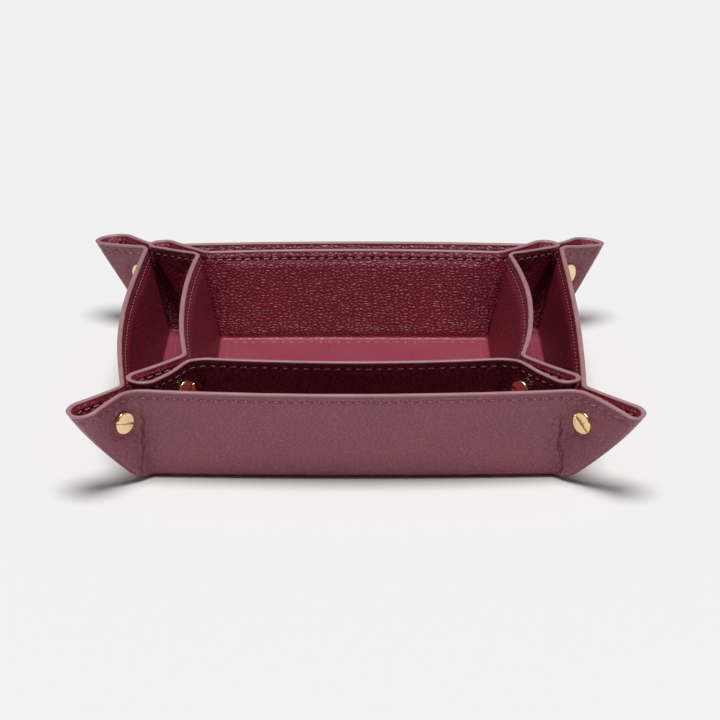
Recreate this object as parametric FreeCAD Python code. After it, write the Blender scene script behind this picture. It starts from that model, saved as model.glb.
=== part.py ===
import FreeCAD, Part
import math
import os
from FreeCAD import Vector

# Valet tray: a small leather tray nested in a larger one.  Each tray is one square of two
# bonded leathers over stiff boards.  Its four corners are pinched into ears, and a slotted
# screw in a capped post holds each ear shut.
# Millimetres.  +Z is up, X runs left to right and Y front to back.  The origin is on the
# table under the middle of the tray.

# Leather, boards and thread
SHELL_LEATHER = 1.2          # outside leather
LINING_LEATHER = 1.2         # inside leather
BASE_BOARD = 1.6             # stiff board between the leathers of each base
WALL_BOARD = 0.8             # thinner board in each wall
BASE_BOARD_MARGIN = 2.0      # from the base board's edge to the shell
WALL_BOARD_FOOT = 1.5        # from a tray's floor up to its wall boards
WALL_BOARD_TOP = 4.8         # from the wall boards up to the rim
WALL_BOARD_END = 4.5         # from a wall board's ends to the base's corners
POCKET_CLEARANCE = 0.05      # all round each wall board in its pocket
CORNER_ROUND = 3.0           # base board's corners
THREAD_WIDTH = 0.6
THREAD_STAND = 0.25          # how far the thread stands out of the leather
RIM_SEAM_DROP = 3.0          # from the rim down to its seam
BASE_SEAM_INSET = 4.7        # from the foot of the walls in to the base seam
FOOT_ROUND = 1.5             # radius along the bottom edge

# Outer tray
OUTER_BASE = 161.0           # side of the square base
OUTER_HEIGHT = 39.5
OUTER_LEAN = 9.0             # how far the rim's corners stand outside the base
OUTER_EAR = 27.6             # from a rim corner out to the ear's tip

# Inner tray: its size follows from the outer tray's
INNER_HEIGHT = 39.8
INNER_LEAN = 8.5
FLOOR_GAP = 22.5             # between the two trays' feet, on every side
EAR_TIP_SETBACK = 2.9        # inner ear tips stop this far inside the outer rim's corners
SEAT_GAP = 0.3               # the inner tray's underside above the outer tray's floor

# Walls and ears, alike on both trays
RIM_BOW = 4.7                # how far each wall's rim bulges out at its middle
FOOT_BOW = 0.3               # the same at its foot
EAR_GAP = 0.3                # between the lining's two faces where an ear is pinched
LOOP_HALF = 5.0              # half width of the open loop at an ear's tip, at the rim
RIM_OPENING = 3.0            # power with which loops and necks open towards the rim
FOOT_EAR = 3.2               # the ear's fold already stands out this far at the foot
EAR_SWEEP = 1.25             # power with which the fold turns upright towards the rim
NECK_FOOT_RADIUS = 2.0       # wall's turn into the ear, at the foot
NECK_RIM_RADIUS = 12.0       # the same at the rim
EAR_DROOP = 2.0              # the tip's rim is this much lower than the corner's

# Slotted screw and its capped post
HEAD_RADIUS = 4.5
HEAD_THICK = 1.3
HEAD_CHAMFER = 0.4
SLOT_WIDTH = 0.8
SLOT_DEPTH = 0.6
SHANK_RADIUS = 1.9
THREAD_CLEARANCE = 0.05      # radial, between shank and post
POST_RADIUS = 2.5
POST_END_GAP = 0.4           # the post stops this short of the head
POST_FLOOR = 0.6             # solid end of the post's bore, above its cap
SHANK_END_GAP = 0.6          # the shank stops this short of the bore's end
HOLE_CLEARANCE = 0.15        # radial, between post and leather
PRESS = 0.1                  # how far each head presses into the leather
SEAT_CLEARANCE = 0.2         # radial, between a head and the leather pressed round it
SCREW_BELOW_RIM = 12.3
SCREW_FROM_NECK = 4.5        # out along the ear from the corner line

LEATHERS = SHELL_LEATHER + LINING_LEATHER
FLOOR_THICK = LEATHERS + BASE_BOARD
PINCH_HALF = LEATHERS + EAR_GAP / 2
SEAT_HALF = PINCH_HALF - PRESS
DIAGONAL = math.sqrt(2.0)
OVERRUN = 1.0                # how far cutters run past what they cut
DROOP_CUT_WIDTH = 40.0       # wider than any ear
UPRIGHT = 0.9                # least rise of an upright edge's direction
TURN_ROUNDS = 4              # rounds that settle how far a wall turns towards its ears
FOOT_LEVELS = (0.0, 0.15, 0.5)
LEVELS = (0.15, 0.35, 0.55, 0.75, 0.9)

# Turn of each corner's diagonal and of each wall about the tray's middle, in degrees
CORNER_NAMES = ("back_right", "back_left", "front_left", "front_right")
CORNERS = {name: 45 + 90 * place for place, name in enumerate(CORNER_NAMES)}
WALLS = {name: 90 * place for place, name in enumerate(("front", "right", "back", "left"))}


class Tray:
    """The driving sizes of one tray."""

    def __init__(self, name, seat, height, base_half, lean, tip_half):
        self.name = name
        self.seat = seat
        self.height = height
        self.base_half = base_half
        self.lean = lean
        self.tip_half = tip_half
        self.rim = seat + height
        self.floor = seat + FLOOR_THICK

    def corner_half(self, z):
        """Half the width between the corner lines of the outside skin at height z."""
        return self.base_half + self.lean * (z - self.seat) / self.height


def make_trays():
    outer_half = OUTER_BASE / 2
    rim_half = outer_half + OUTER_LEAN
    outer = Tray("outer", 0.0, OUTER_HEIGHT, outer_half, OUTER_LEAN, rim_half + OUTER_EAR / DIAGONAL)
    seat = outer.floor + SEAT_GAP
    inner_half = outer_half - FLOOR_GAP
    inner = Tray("inner", seat, INNER_HEIGHT, inner_half, INNER_LEAN, rim_half - EAR_TIP_SETBACK)
    return outer, inner


def corner_outline(tray, z, inset, wall_inset):
    """Half of one corner of a level section, inset from the outside skin.

    Points are (u, v): u runs out along the corner's diagonal, v square to it.  They go from
    the wall round the neck, along the ear and round its loop to the tip, each arc by its
    start, middle and end.  The last value is how far out the wall's middle lies.
    """
    rise = (z - tray.seat) / tray.height
    corner = tray.corner_half(z) - inset
    wall_middle = tray.corner_half(z) + FOOT_BOW + (RIM_BOW - FOOT_BOW) * rise - wall_inset
    pinch = PINCH_HALF - inset
    opening = rise ** RIM_OPENING
    loop = PINCH_HALF + (LOOP_HALF - PINCH_HALF) * opening - inset
    neck_radius = NECK_FOOT_RADIUS + (NECK_RIM_RADIUS - NECK_FOOT_RADIUS) * opening + inset
    foot_tip = tray.base_half * DIAGONAL + FOOT_EAR
    sweep = 1 - max(1 - rise, 0.0) ** EAR_SWEEP
    tip = foot_tip + (tray.tip_half * DIAGONAL - foot_tip) * sweep - inset

    neck = Vector(corner * DIAGONAL - pinch, pinch, 0)
    loop_centre = Vector(tip - loop, 0, 0)
    reach = loop_centre.x - neck.x
    spread = math.asin(loop / math.hypot(reach, pinch)) - math.atan2(pinch, reach)
    along_neck = corner - pinch * DIAGONAL
    wall_turn = 0.0
    for _ in range(TURN_ROUNDS):
        turn = math.pi / 4 + wall_turn + spread
        tangent = neck_radius * math.tan(turn / 2)
        wall_turn = 2 * math.atan((wall_middle - corner) / (along_neck + tangent))

    along = along_neck - tangent * math.cos(wall_turn)
    out = corner + tangent * math.sin(wall_turn)
    wall_end = Vector((along + out) / DIAGONAL, (out - along) / DIAGONAL, 0)
    ear_way = Vector(math.cos(spread), math.sin(spread), 0)
    ear_side = Vector(-math.sin(spread), math.cos(spread), 0)
    ear_start = neck + ear_way * tangent
    neck_centre = ear_start + ear_side * neck_radius
    neck_middle = neck_centre + (neck - neck_centre).normalize() * neck_radius
    loop_start = loop_centre + ear_side * loop
    half_turn = (math.pi / 2 + spread) / 2
    loop_middle = loop_centre + Vector(math.cos(half_turn), math.sin(half_turn), 0) * loop
    points = (wall_end, neck_middle, ear_start, loop_start, loop_middle, Vector(tip, 0, 0))
    return points, wall_middle


def place(point, turn, z, side):
    """A (u, v) point at the corner whose diagonal points to `turn` degrees."""
    angle = math.radians(turn)
    outward = Vector(math.cos(angle), math.sin(angle), 0)
    across = Vector(-math.sin(angle), math.cos(angle), 0)
    return outward * point.x + across * (point.y * side) + Vector(0, 0, z)


def arc(start, middle, end):
    return Part.Arc(start, middle, end).toShape()


def line(start, end):
    return Part.LineSegment(start, end).toShape()


def section(tray, z, inset, wall_inset):
    """The closed outline of a tray at height z, inset from its outside skin."""
    points, wall_middle = corner_outline(tray, z, inset, wall_inset)
    edges = []
    for turn in CORNERS.values():
        near = [place(point, turn, z, -1) for point in points]
        far = [place(point, turn, z, 1) for point in points]
        edges.append(arc(near[0], near[1], near[2]))
        edges.append(line(near[2], near[3]))
        edges.append(arc(near[3], near[4], near[5]))
        edges.append(arc(far[5], far[4], far[3]))
        edges.append(line(far[3], far[2]))
        edges.append(arc(far[2], far[1], far[0]))
        next_wall = place(points[0], turn + 90, z, -1)
        wall = place(Vector(wall_middle, 0, 0), turn + 45, z, 1)
        edges.append(arc(far[0], wall, next_wall))
    return Part.Wire(edges)


def skin(tray, bottom, top, inset, wall_inset=None, foot_round=0.0):
    """A solid that fills a tray inside the given inset, from bottom to top."""
    if wall_inset is None:
        wall_inset = inset
    wires = []
    for share in FOOT_LEVELS:
        if foot_round > 0:
            z = bottom + foot_round * share
            tuck = foot_round - math.sqrt(foot_round ** 2 - (foot_round * (1 - share)) ** 2)
            wires.append(section(tray, z, inset + tuck, wall_inset + tuck))
    start = bottom + foot_round
    heights = [start] + [start + (top - start) * level for level in LEVELS] + [top]
    wires += [section(tray, z, inset, wall_inset) for z in heights]
    return Part.makeLoft(wires, True, False)


def ear_droop_cutter(tray, turn):
    """A block over one ear whose underside slopes down from the rim's corner to the tip."""
    neck = tray.corner_half(tray.rim) * DIAGONAL
    length = tray.tip_half * DIAGONAL - neck
    middle = Vector(0, -DROOP_CUT_WIDTH / 2, 0)
    block = Part.makeBox(2 * length, DROOP_CUT_WIDTH, 3 * EAR_DROOP + OVERRUN, middle)
    block.rotate(Vector(0, 0, 0), Vector(0, 1, 0), math.degrees(math.atan(EAR_DROOP / length)))
    block.translate(Vector(neck, 0, tray.rim))
    block.rotate(Vector(0, 0, 0), Vector(0, 0, 1), turn)
    return block


def screw_frame(tray, turn, head_side):
    """Where one screw crosses its ear's middle plane, and the way its head faces."""
    height = tray.rim - SCREW_BELOW_RIM
    reach = tray.corner_half(height) * DIAGONAL + SCREW_FROM_NECK
    middle = place(Vector(reach, 0, 0), turn, height, 1)
    angle = math.radians(turn)
    across = Vector(-math.sin(angle), math.cos(angle), 0) * head_side
    return middle, across


def head_side_of(corner):
    """Slotted heads face the front and back walls, caps face the side walls."""
    return 1 if corner in ("front_left", "back_right") else -1


def screw_room(tray, corner):
    """What one screw and its post take out of the leather: the hole and two pressed seats."""
    middle, across = screw_frame(tray, CORNERS[corner], head_side_of(corner))
    reach = SEAT_HALF + HEAD_THICK + LOOP_HALF
    room = Part.makeCylinder(POST_RADIUS + HOLE_CLEARANCE, 2 * reach, middle - across * reach, across)
    seat_radius = HEAD_RADIUS + SEAT_CLEARANCE
    for side in (-1, 1):
        start = middle + across * (SEAT_HALF * side)
        room = room.fuse(Part.makeCylinder(seat_radius, LOOP_HALF, start, across * side))
    return room


def leather_cutters(tray):
    """What the ears' droop and the screws take out of both leathers."""
    droops = [ear_droop_cutter(tray, turn) for turn in CORNERS.values()]
    return droops + [screw_room(tray, corner) for corner in CORNERS]


def on_every_wall(front):
    """A front wall's piece and its three turned copies, by wall."""
    pieces = {}
    for wall, turn in WALLS.items():
        pieces[wall] = front.copy()
        pieces[wall].rotate(Vector(0, 0, 0), Vector(0, 0, 1), turn)
    return pieces


def front_board(tray, clearance):
    """The stiff board in the front wall, smaller than its pocket by a clearance all round."""
    bottom = tray.seat + SHELL_LEATHER
    outside = skin(tray, bottom, tray.rim, SHELL_LEATHER + clearance)
    inside = skin(tray, bottom, tray.rim, SHELL_LEATHER + WALL_BOARD - clearance)
    foot = tray.floor + WALL_BOARD_FOOT + clearance
    height = tray.rim - WALL_BOARD_TOP - clearance - foot
    half = tray.base_half - WALL_BOARD_END - clearance
    reach = tray.corner_half(tray.rim) + RIM_BOW + OVERRUN
    block = Part.makeBox(2 * half, reach - tray.base_half / 2, height, Vector(-half, -reach, foot))
    return outside.common(block).cut(inside)


def make_base_board(tray):
    half = tray.base_half - SHELL_LEATHER - BASE_BOARD_MARGIN
    board = Part.makeBox(2 * half, 2 * half, BASE_BOARD, Vector(-half, -half, tray.seat + SHELL_LEATHER))
    upright = [edge for edge in board.Edges if abs(edge.tangentAt(edge.FirstParameter).z) > UPRIGHT]
    return board.makeFillet(CORNER_ROUND, upright)


def make_shell(tray):
    outside = skin(tray, tray.seat, tray.rim, 0.0, foot_round=FOOT_ROUND)
    inside = skin(tray, tray.seat + SHELL_LEATHER, tray.rim + OVERRUN, SHELL_LEATHER)
    return outside.cut([inside] + leather_cutters(tray))


def make_lining(tray, base_board):
    """The inside leather: it bulges over the wall boards and has a pocket for every board."""
    outside = skin(tray, tray.seat + SHELL_LEATHER, tray.rim, SHELL_LEATHER)
    hollow = skin(tray, tray.floor, tray.rim + OVERRUN, LEATHERS, LEATHERS + WALL_BOARD)
    pockets = list(on_every_wall(front_board(tray, 0.0)).values())
    return outside.cut([hollow, base_board] + pockets + leather_cutters(tray))


def make_rim_thread(tray):
    """The rim seam's outside run, as one unbroken line of thread round the tray."""
    reach = 2 * tray.tip_half
    bottom = tray.rim - RIM_SEAM_DROP - THREAD_WIDTH / 2
    band = Part.makeBox(2 * reach, 2 * reach, THREAD_WIDTH, Vector(-reach, -reach, bottom))
    outside = skin(tray, tray.floor, tray.rim, -THREAD_STAND)
    return outside.common(band).cut(skin(tray, tray.seat, tray.rim, 0.0, foot_round=FOOT_ROUND))


def make_base_thread(tray):
    """The base seam's upper run, lying on the tray's floor."""
    half = tray.base_half - BASE_SEAM_INSET
    frame = None
    for reach in (half + THREAD_WIDTH / 2, half - THREAD_WIDTH / 2):
        block = Part.makeBox(2 * reach, 2 * reach, THREAD_STAND, Vector(-reach, -reach, tray.floor))
        frame = block if frame is None else frame.cut(block)
    return frame


def make_head(middle, across, side):
    """A flat round head with a bevelled rim, its underside on the pressed leather."""
    underside = middle + across * (SEAT_HALF * side)
    head = Part.makeCylinder(HEAD_RADIUS, HEAD_THICK, underside, across * side)
    top = underside + across * (HEAD_THICK * side)
    rim = [edge for edge in head.Edges if edge.Closed and (edge.CenterOfMass - top).Length < HEAD_CHAMFER]
    return head.makeChamfer(HEAD_CHAMFER, rim)


def make_post(tray, corner):
    middle, across = screw_frame(tray, CORNERS[corner], head_side_of(corner))
    start = middle - across * SEAT_HALF
    length = 2 * SEAT_HALF - POST_END_GAP
    tube = Part.makeCylinder(POST_RADIUS, length, start, across)
    bore = Part.makeCylinder(
        SHANK_RADIUS + THREAD_CLEARANCE, length, start + across * POST_FLOOR, across)
    return make_head(middle, across, -1).fuse(tube).cut(bore).removeSplitter()


def make_screw(tray, corner):
    middle, across = screw_frame(tray, CORNERS[corner], head_side_of(corner))
    end = middle - across * (SEAT_HALF - POST_FLOOR - SHANK_END_GAP)
    length = 2 * SEAT_HALF - POST_FLOOR - SHANK_END_GAP
    shank = Part.makeCylinder(SHANK_RADIUS, length, end, across)
    slot_length = 2 * HEAD_RADIUS + OVERRUN
    slot = Part.makeBox(slot_length, SLOT_WIDTH, SLOT_DEPTH + OVERRUN)
    slot.translate(Vector(-slot_length / 2, -SLOT_WIDTH / 2, HEAD_THICK - SLOT_DEPTH))
    slot.Placement = FreeCAD.Placement(
        middle + across * SEAT_HALF, FreeCAD.Rotation(Vector(0, 0, 1), across)).multiply(slot.Placement)
    return make_head(middle, across, 1).fuse(shank).cut(slot).removeSplitter()


def make_parts(tray):
    base_board = make_base_board(tray)
    parts = {
        "shell": make_shell(tray),
        "lining": make_lining(tray, base_board),
        "base_board": base_board,
        "rim_thread": make_rim_thread(tray),
        "base_thread": make_base_thread(tray),
    }
    for wall, board in on_every_wall(front_board(tray, POCKET_CLEARANCE)).items():
        parts[wall + "_board"] = board
    for corner in CORNERS:
        parts["post_" + corner] = make_post(tray, corner)
        parts["screw_" + corner] = make_screw(tray, corner)
    return parts


def main():
    os.makedirs("parts", exist_ok=True)
    for tray in make_trays():
        for name, shape in make_parts(tray).items():
            node = tray.name + "_" + name
            print(f"{node}: {len(shape.Solids)} solid, {shape.Volume:.1f} mm3, valid {shape.isValid()}")
            shape.exportStep("parts/" + node + ".step")


main()
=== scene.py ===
import math
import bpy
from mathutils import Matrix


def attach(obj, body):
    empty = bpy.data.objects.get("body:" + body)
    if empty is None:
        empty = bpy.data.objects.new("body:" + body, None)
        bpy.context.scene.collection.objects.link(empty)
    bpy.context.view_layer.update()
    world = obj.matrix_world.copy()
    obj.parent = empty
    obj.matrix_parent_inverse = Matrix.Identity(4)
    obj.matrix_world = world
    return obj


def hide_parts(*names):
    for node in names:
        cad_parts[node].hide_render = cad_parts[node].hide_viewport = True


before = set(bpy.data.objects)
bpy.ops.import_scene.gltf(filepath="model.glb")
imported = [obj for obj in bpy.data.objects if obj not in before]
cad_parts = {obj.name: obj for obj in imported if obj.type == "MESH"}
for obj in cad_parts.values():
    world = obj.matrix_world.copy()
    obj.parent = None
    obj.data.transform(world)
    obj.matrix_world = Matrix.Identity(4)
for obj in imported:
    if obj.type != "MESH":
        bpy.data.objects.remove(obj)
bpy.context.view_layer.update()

from types import SimpleNamespace

import bpy
import numpy as np
from mathutils import Matrix, Vector, noise

# Valet tray: a small pebbled-leather tray nested in a larger one.  Each is one square of two
# bonded leathers over boards, its corners pinched into ears that slotted brass screws hold.
# Sizes below are millimetres, the same as in the solids; MM turns them to metres.
MM = 0.001
ROOT2 = math.sqrt(2.0)

LEATHER = 1.2                # each of the two leathers
FLOOR_THICK = 4.0            # two leathers and the base board
WALL_BOARD = 0.8
BOARD_FOOT = 1.5             # from a tray's floor up to its wall boards
BOARD_TOP = 4.8              # from the wall boards up to the rim
BOARD_END = 4.5              # from a wall board's ends to the base's corners
BOARD_SLACK = 0.02           # between a wall board and the leathers
FOOT_ROUND = 4.5             # outside leather's turn from under the tray up into its walls
FOLD_ROUND = 1.1             # lining's turn from the floor into the walls
PINCH_HALF = 2.55            # half an ear's thickness where its screw pinches it
PINCH_LEAST = 0.15           # and what is left of it at least, under the tray
RIM_OPENING = 3.0            # power with which loops and necks open towards the rim
FOOT_EAR = 3.2               # how far an ear's fold starts out from the base's corner
FOOT_TUCK = 1.6              # how much of that is tucked in again at the very foot
FOOT_TUCK_RISE = 0.1         # share of the height over which that tuck lets go
RIM_PARE = 0.6               # the lining is pared thinner towards its cut edge
PARE_REACH = 2.0             # from this far below it
EAR_SWEEP = 1.25             # power with which an ear's fold turns upright towards the rim
NECK_FOOT_RADIUS = 2.0       # a wall's turn into its ear, at the foot
RIM_SEAM = 3.0               # rim seam, below the rim
BASE_SEAM = 4.7              # base seam, in from the foot

STITCH = 4.0                 # from one stitch to the next
THREAD = 0.62                # thread's width
HEAD_RADIUS = 4.5
HEAD_THICK = 1.3
SEAT_HALF = 2.45             # from an ear's middle plane to a head's underside
SEAT_CLEARANCE = 0.2         # between a head and the leather pressed round it
SEAT_SLOPE = 4.5             # how far round a head the leather is drawn in
SHANK_RADIUS = 1.9
POST_RADIUS = 2.5
SCREW_BELOW_RIM = 12.3
SCREW_FROM_NECK = 4.5
CREASE_INSET = 0.6           # from a wall's crease beside its ear to the base's corner
CREASES = {("front_right", "front"): 0.9, ("front_left", "front"): -0.7}

# Right-hand ear of each wall, going round from the front wall
WALLS = ("front", "right", "back", "left")
CORNERS = ("front_right", "back_right", "back_left", "front_left")
CORNER_TURN = {"front_right": 315, "back_right": 45, "back_left": 135, "front_left": 225}


def side(loop, neck, sag=0.0, bend=2.0):
    """One side of an ear at the rim: half width of its loop, radius of its turn into the wall,
    how far it sags on the way to the tip, and the power of that half wall's bow: 2 is a plain
    arc, less is straighter towards the ear."""
    return SimpleNamespace(loop=loop, neck=neck, sag=sag, bend=bend)


def ear(ahead, beside, droop, reach=0.0):
    """One ear: its side on the front or back wall, its side on a side wall, how far its tip
    droops and how much further out than the plain form it reaches."""
    return SimpleNamespace(ahead=ahead, beside=beside, droop=droop, reach=reach)


# No two walls and ears of soft leather are quite alike; bows are those of the rims
OUTER = SimpleNamespace(
    name="outer", seat=0.0, height=39.5, base_half=80.5, lean=9.0,
    tip_half=89.5 + 27.6 / ROOT2, seed=3.0, foot_bow=1.6,
    bows={"front": 6.0, "right": 1.8, "back": 4.2, "left": 5.2},
    ears={
        "front_left": ear(side(8.2, 9.0, -0.9), side(8.8, 6.0, 0.3), 4.1, -0.5),
        "front_right": ear(side(4.2, 8.0, -0.5), side(8.2, 6.0, 0.2), 3.9, 2.4),
        "back_right": ear(side(8.4, 7.0, 0.3), side(8.0, 4.0, 0.2, 1.6), 3.2, -3.0),
        "back_left": ear(side(9.6, 8.0, 0.2), side(9.0, 4.0, 0.2, 1.5), 2.9, 2.2),
    })
INNER = SimpleNamespace(
    name="inner", seat=4.3, height=39.8, base_half=58.0, lean=8.5,
    tip_half=86.6, seed=41.0, foot_bow=0.3,
    bows={"front": 4.9, "right": 6.0, "back": 3.2, "left": 3.8},
    ears={
        "front_left": ear(side(7.4, 13.0, 1.2), side(6.8, 6.0, 0.3), 2.4),
        "front_right": ear(side(6.2, 14.0, 0.8), side(5.6, 6.0, 0.3), 2.0),
        "back_right": ear(side(6.4, 6.0, 0.3), side(6.2, 4.0, 0.2), 2.0),
        "back_left": ear(side(6.8, 6.0, 0.3), side(6.2, 4.0, 0.2), 2.0),
    })

# How far the features of each leather stand out of its plain form, how far its ripples lie
# apart, and how wide the edge is that a board shows through it
OUTSIDE = SimpleNamespace(
    swell=0.25, ripple=0.06, ripple_apart=6.0, board=0.12, board_edge=1.6, crease=0.4,
    pucker=0.14)
INSIDE = SimpleNamespace(
    swell=-0.20, ripple=0.09, ripple_apart=5.0, board=0.65, board_edge=3.2, crease=0.35)
SWELL_APART = 42.0
FLOOR_SWELL_APART = 30.0
FLOOR_SWELL = 0.07
GROOVE_DEPTH = 0.14          # of the base seam's groove
CHANNEL_DEPTH = 0.16         # of the rim seam's channel
EDGE_LINE = 1.2              # the line creased beside the cut edge, below the rim
EDGE_LINE_DEPTH = 0.10
CREASE_SWINGS = ((2.2, 9.0), (1.3, 3.0))    # how far a crease swings to a side, and how often
CREASE_STARTS = (0.5, 4.0)   # heights over the foot between which a crease sets in
CREASE_ENDS = (24.0, 32.0)   # and those between which it fades out
CREASE_HALF = 0.45           # half width of its groove
LIP_AWAY = 1.1               # from the groove to the lip at each side
LIP_HALF = 0.6
FLANKS_APART = 40            # places in the noise, so that no two creases are alike
WRINKLES_APART = 90
EAR_GRAIN = 0.15             # how much more the grain stands up on the ears
# The floor's weaker grain also paints the lining paler there: painted sheen of the light on the
# floor
FLOOR_GRAIN = 0.25           # a board under the floor presses the lining's grain flat
LINING_CREASE = 0.3          # the lining's creases are softer than the outside's

PAINT_PROUD = 0.06           # the edge paint laps over both leathers by this much
PAINT_COAT = 0.05
PAINT_CROWN = 0.38           # how high it rounds up over the cut edges

WALL_STEPS = 60              # stations along a half wall, its turn, its ear and the loop
NECK_STEPS = 24
EAR_STEPS = 22
LOOP_STEPS = 11
TURN_ROUNDS = 4
WALL_CROWDING = 1.6          # power with which stations crowd towards the ears
SHELL_ROWS = 34              # rows up a wall, below those that crowd under the rim
LINING_ROWS = 32
BOARD_STEPS = 28
BOARD_ROWS = 8
CROWN_STEPS = 9


def flank_of(tray, corner, wall):
    """The side of a corner's ear that goes on from the given wall."""
    shape = tray.ears[corner]
    return shape.ahead if wall in ("front", "back") else shape.beside


def smooth(low, high, value):
    """0 at low and beyond, 1 at high and beyond, and an even curve between them."""
    share = np.clip((value - low) / (high - low), 0.0, 1.0)
    return share * share * (3.0 - 2.0 * share)


def hump(distance, width):
    """A bell curve, 1 at distance 0."""
    return np.exp(-(distance / width) ** 2)


def rumple(places, size, seed):
    """Smooth noise between -1 and 1 at flat places, with swells about `size` mm apart."""
    flat = places.reshape(-1, 2) / size
    values = [noise.noise((x, y, seed)) for x, y in flat]
    return np.array(values).reshape(places.shape[:-1])


def at_wall(wall, along, out):
    """(x, y) of a place `along` a wall from its middle and `out` from the tray's middle."""
    turn = math.radians(90 * WALLS.index(wall))
    cos, sin = math.cos(turn), math.sin(turn)
    return along * cos + out * sin, along * sin - out * cos


# ---------------------------------------------------------------- level sections of a tray

def half_section(tray, corner_name, wall_name, rise, inset):
    """(along, out) from a wall's middle to an ear's tip, for stations in the last axis of rise."""
    shape = tray.ears[corner_name]
    flank = flank_of(tray, corner_name, wall_name)
    corner_line = tray.base_half + tray.lean * rise
    corner = corner_line - inset
    middle = corner_line + tray.foot_bow + (tray.bows[wall_name] - tray.foot_bow) * rise - inset
    pinch = np.maximum(PINCH_HALF - inset, PINCH_LEAST)
    opening = rise ** RIM_OPENING
    loop = pinch + (flank.loop - PINCH_HALF) * opening
    radius = NECK_FOOT_RADIUS + (flank.neck - NECK_FOOT_RADIUS) * opening + inset
    foot_tip = tray.base_half * ROOT2 + FOOT_EAR
    foot_tip = foot_tip - FOOT_TUCK * (1 - smooth(0.0, FOOT_TUCK_RISE, rise))
    sweep = 1 - np.maximum(1 - rise, 0.0) ** EAR_SWEEP
    tip = foot_tip + (tray.tip_half * ROOT2 + shape.reach - foot_tip) * sweep - inset

    reach = tip - loop - (corner * ROOT2 - pinch)
    spread = np.arcsin(loop / np.hypot(reach, pinch)) - np.arctan2(pinch, reach)
    along_neck = corner - pinch * ROOT2
    # How far the wall has turned by then depends on where the turn starts, and settles soon
    wall_turn = np.zeros_like(rise)
    for _ in range(TURN_ROUNDS):
        turn = math.pi / 4 + wall_turn + spread
        tangent = radius * np.tan(turn / 2)
        wall_turn = 2 * np.arctan((middle - corner) / (along_neck + tangent))
    wall_along = along_neck - tangent * np.cos(wall_turn)
    wall_out = corner + tangent * np.sin(wall_turn)

    # (u, v): out along the corner's diagonal, and square to it
    ear_u = corner * ROOT2 - pinch + np.cos(spread) * tangent
    ear_v = pinch + np.sin(spread) * tangent
    loop_u = tip - loop - np.sin(spread) * loop
    loop_v = np.cos(spread) * loop

    stretch, share = STATIONS
    neck_way = -(math.pi / 4 + wall_turn) + share * turn
    neck_u = ear_u - np.sin(spread) * radius + radius * np.sin(neck_way)
    neck_v = ear_v + np.cos(spread) * radius - radius * np.cos(neck_way)
    loop_way = spread - share * (math.pi / 2 + spread)
    round_u = tip - loop - loop * np.sin(loop_way)
    round_v = loop * np.cos(loop_way)
    u = np.select(
        [stretch == 1, stretch == 2, stretch == 3],
        [neck_u, ear_u + (loop_u - ear_u) * share, round_u])
    v = np.select(
        [stretch == 1, stretch == 2, stretch == 3],
        [neck_v, ear_v + (loop_v - ear_v) * share, round_v])
    wall = stretch == 0
    along = np.where(wall, wall_along * share, (u - v) / ROOT2)
    fall = np.where(wall, share, 0.0) ** flank.bend
    out = np.where(wall, middle - (middle - wall_out) * fall, (u + v) / ROOT2)
    return along, out


def make_stations():
    """Which stretch each station is on (wall, neck, ear, loop) and how far along it."""
    wall = 1 - (1 - np.arange(WALL_STEPS) / WALL_STEPS) ** WALL_CROWDING
    parts = [wall] + [np.arange(n) / n for n in (NECK_STEPS, EAR_STEPS)]
    parts.append(np.arange(LOOP_STEPS + 1) / LOOP_STEPS)
    stretch = np.concatenate([np.full(len(part), i) for i, part in enumerate(parts)])
    return stretch, np.concatenate(parts)


STATIONS = make_stations()
TIP = len(STATIONS[0]) - 1


def along_walls(values_of):
    """Columns round the whole tray from values_of(wall, corner, side), each a half wall's rows.

    Each wall runs from its left ear's tip to just before its right ear's tip."""
    columns = []
    for index, wall in enumerate(WALLS):
        left = values_of(wall, CORNERS[index - 1], -1)
        right = values_of(wall, CORNERS[index], 1)
        columns += [left[..., ::-1], right[..., 1:TIP]]
    return np.concatenate(columns, axis=-1)


def rim_drop(tray, corner, wall):
    """How far the rim lies under its highest line, at each station of a half wall."""
    along, out = half_section(tray, corner, wall, np.ones(TIP + 1), 0.0)
    u = (along + out) / ROOT2
    neck = (tray.base_half + tray.lean) * ROOT2
    share = np.clip((u - neck) / (u[-1] - neck), 0.0, 1.0)
    sag = flank_of(tray, corner, wall).sag
    return tray.ears[corner].droop * share + sag * np.sin(math.pi * share ** 0.8) ** 1.3


def screw_height(tray):
    """Height of a screw's axis over what the whole object stands on."""
    return tray.seat + tray.height - SCREW_BELOW_RIM


def screw_reach(tray):
    """From the tray's middle out along the diagonal to a screw."""
    rise = (screw_height(tray) - tray.seat) / tray.height
    return (tray.base_half + tray.lean * rise) * ROOT2 + SCREW_FROM_NECK


def press_under_heads(tray, along, out, z, inset):
    """The leather drawn in under a screw's head and its post's cap."""
    u, v = (along + out) / ROOT2, (out - along) / ROOT2
    away = np.hypot(u - screw_reach(tray), z - screw_height(tray))
    pull = 1 - smooth(HEAD_RADIUS + SEAT_CLEARANCE, HEAD_RADIUS + SEAT_SLOPE, away)
    v = v - np.maximum(v - (SEAT_HALF - inset), 0.0) * pull
    return (u - v) / ROOT2, (u + v) / ROOT2


def curve_lengths(along, out):
    """Length along each row of a half wall, from its middle."""
    steps = np.hypot(np.diff(along, axis=-1), np.diff(out, axis=-1))
    return np.concatenate([np.zeros(steps.shape[:-1] + (1,)), np.cumsum(steps, axis=-1)], axis=-1)


def stitch_places(tray, corner, wall, rim):
    """Each station's place along the rim seam, counted in stitches from the wall's middle."""
    rise = (rim - RIM_SEAM - tray.seat) / tray.height
    length = curve_lengths(*half_section(tray, corner, wall, rise, 0.0))
    return length / length[-1] * round(length[-1] / STITCH)


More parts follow.
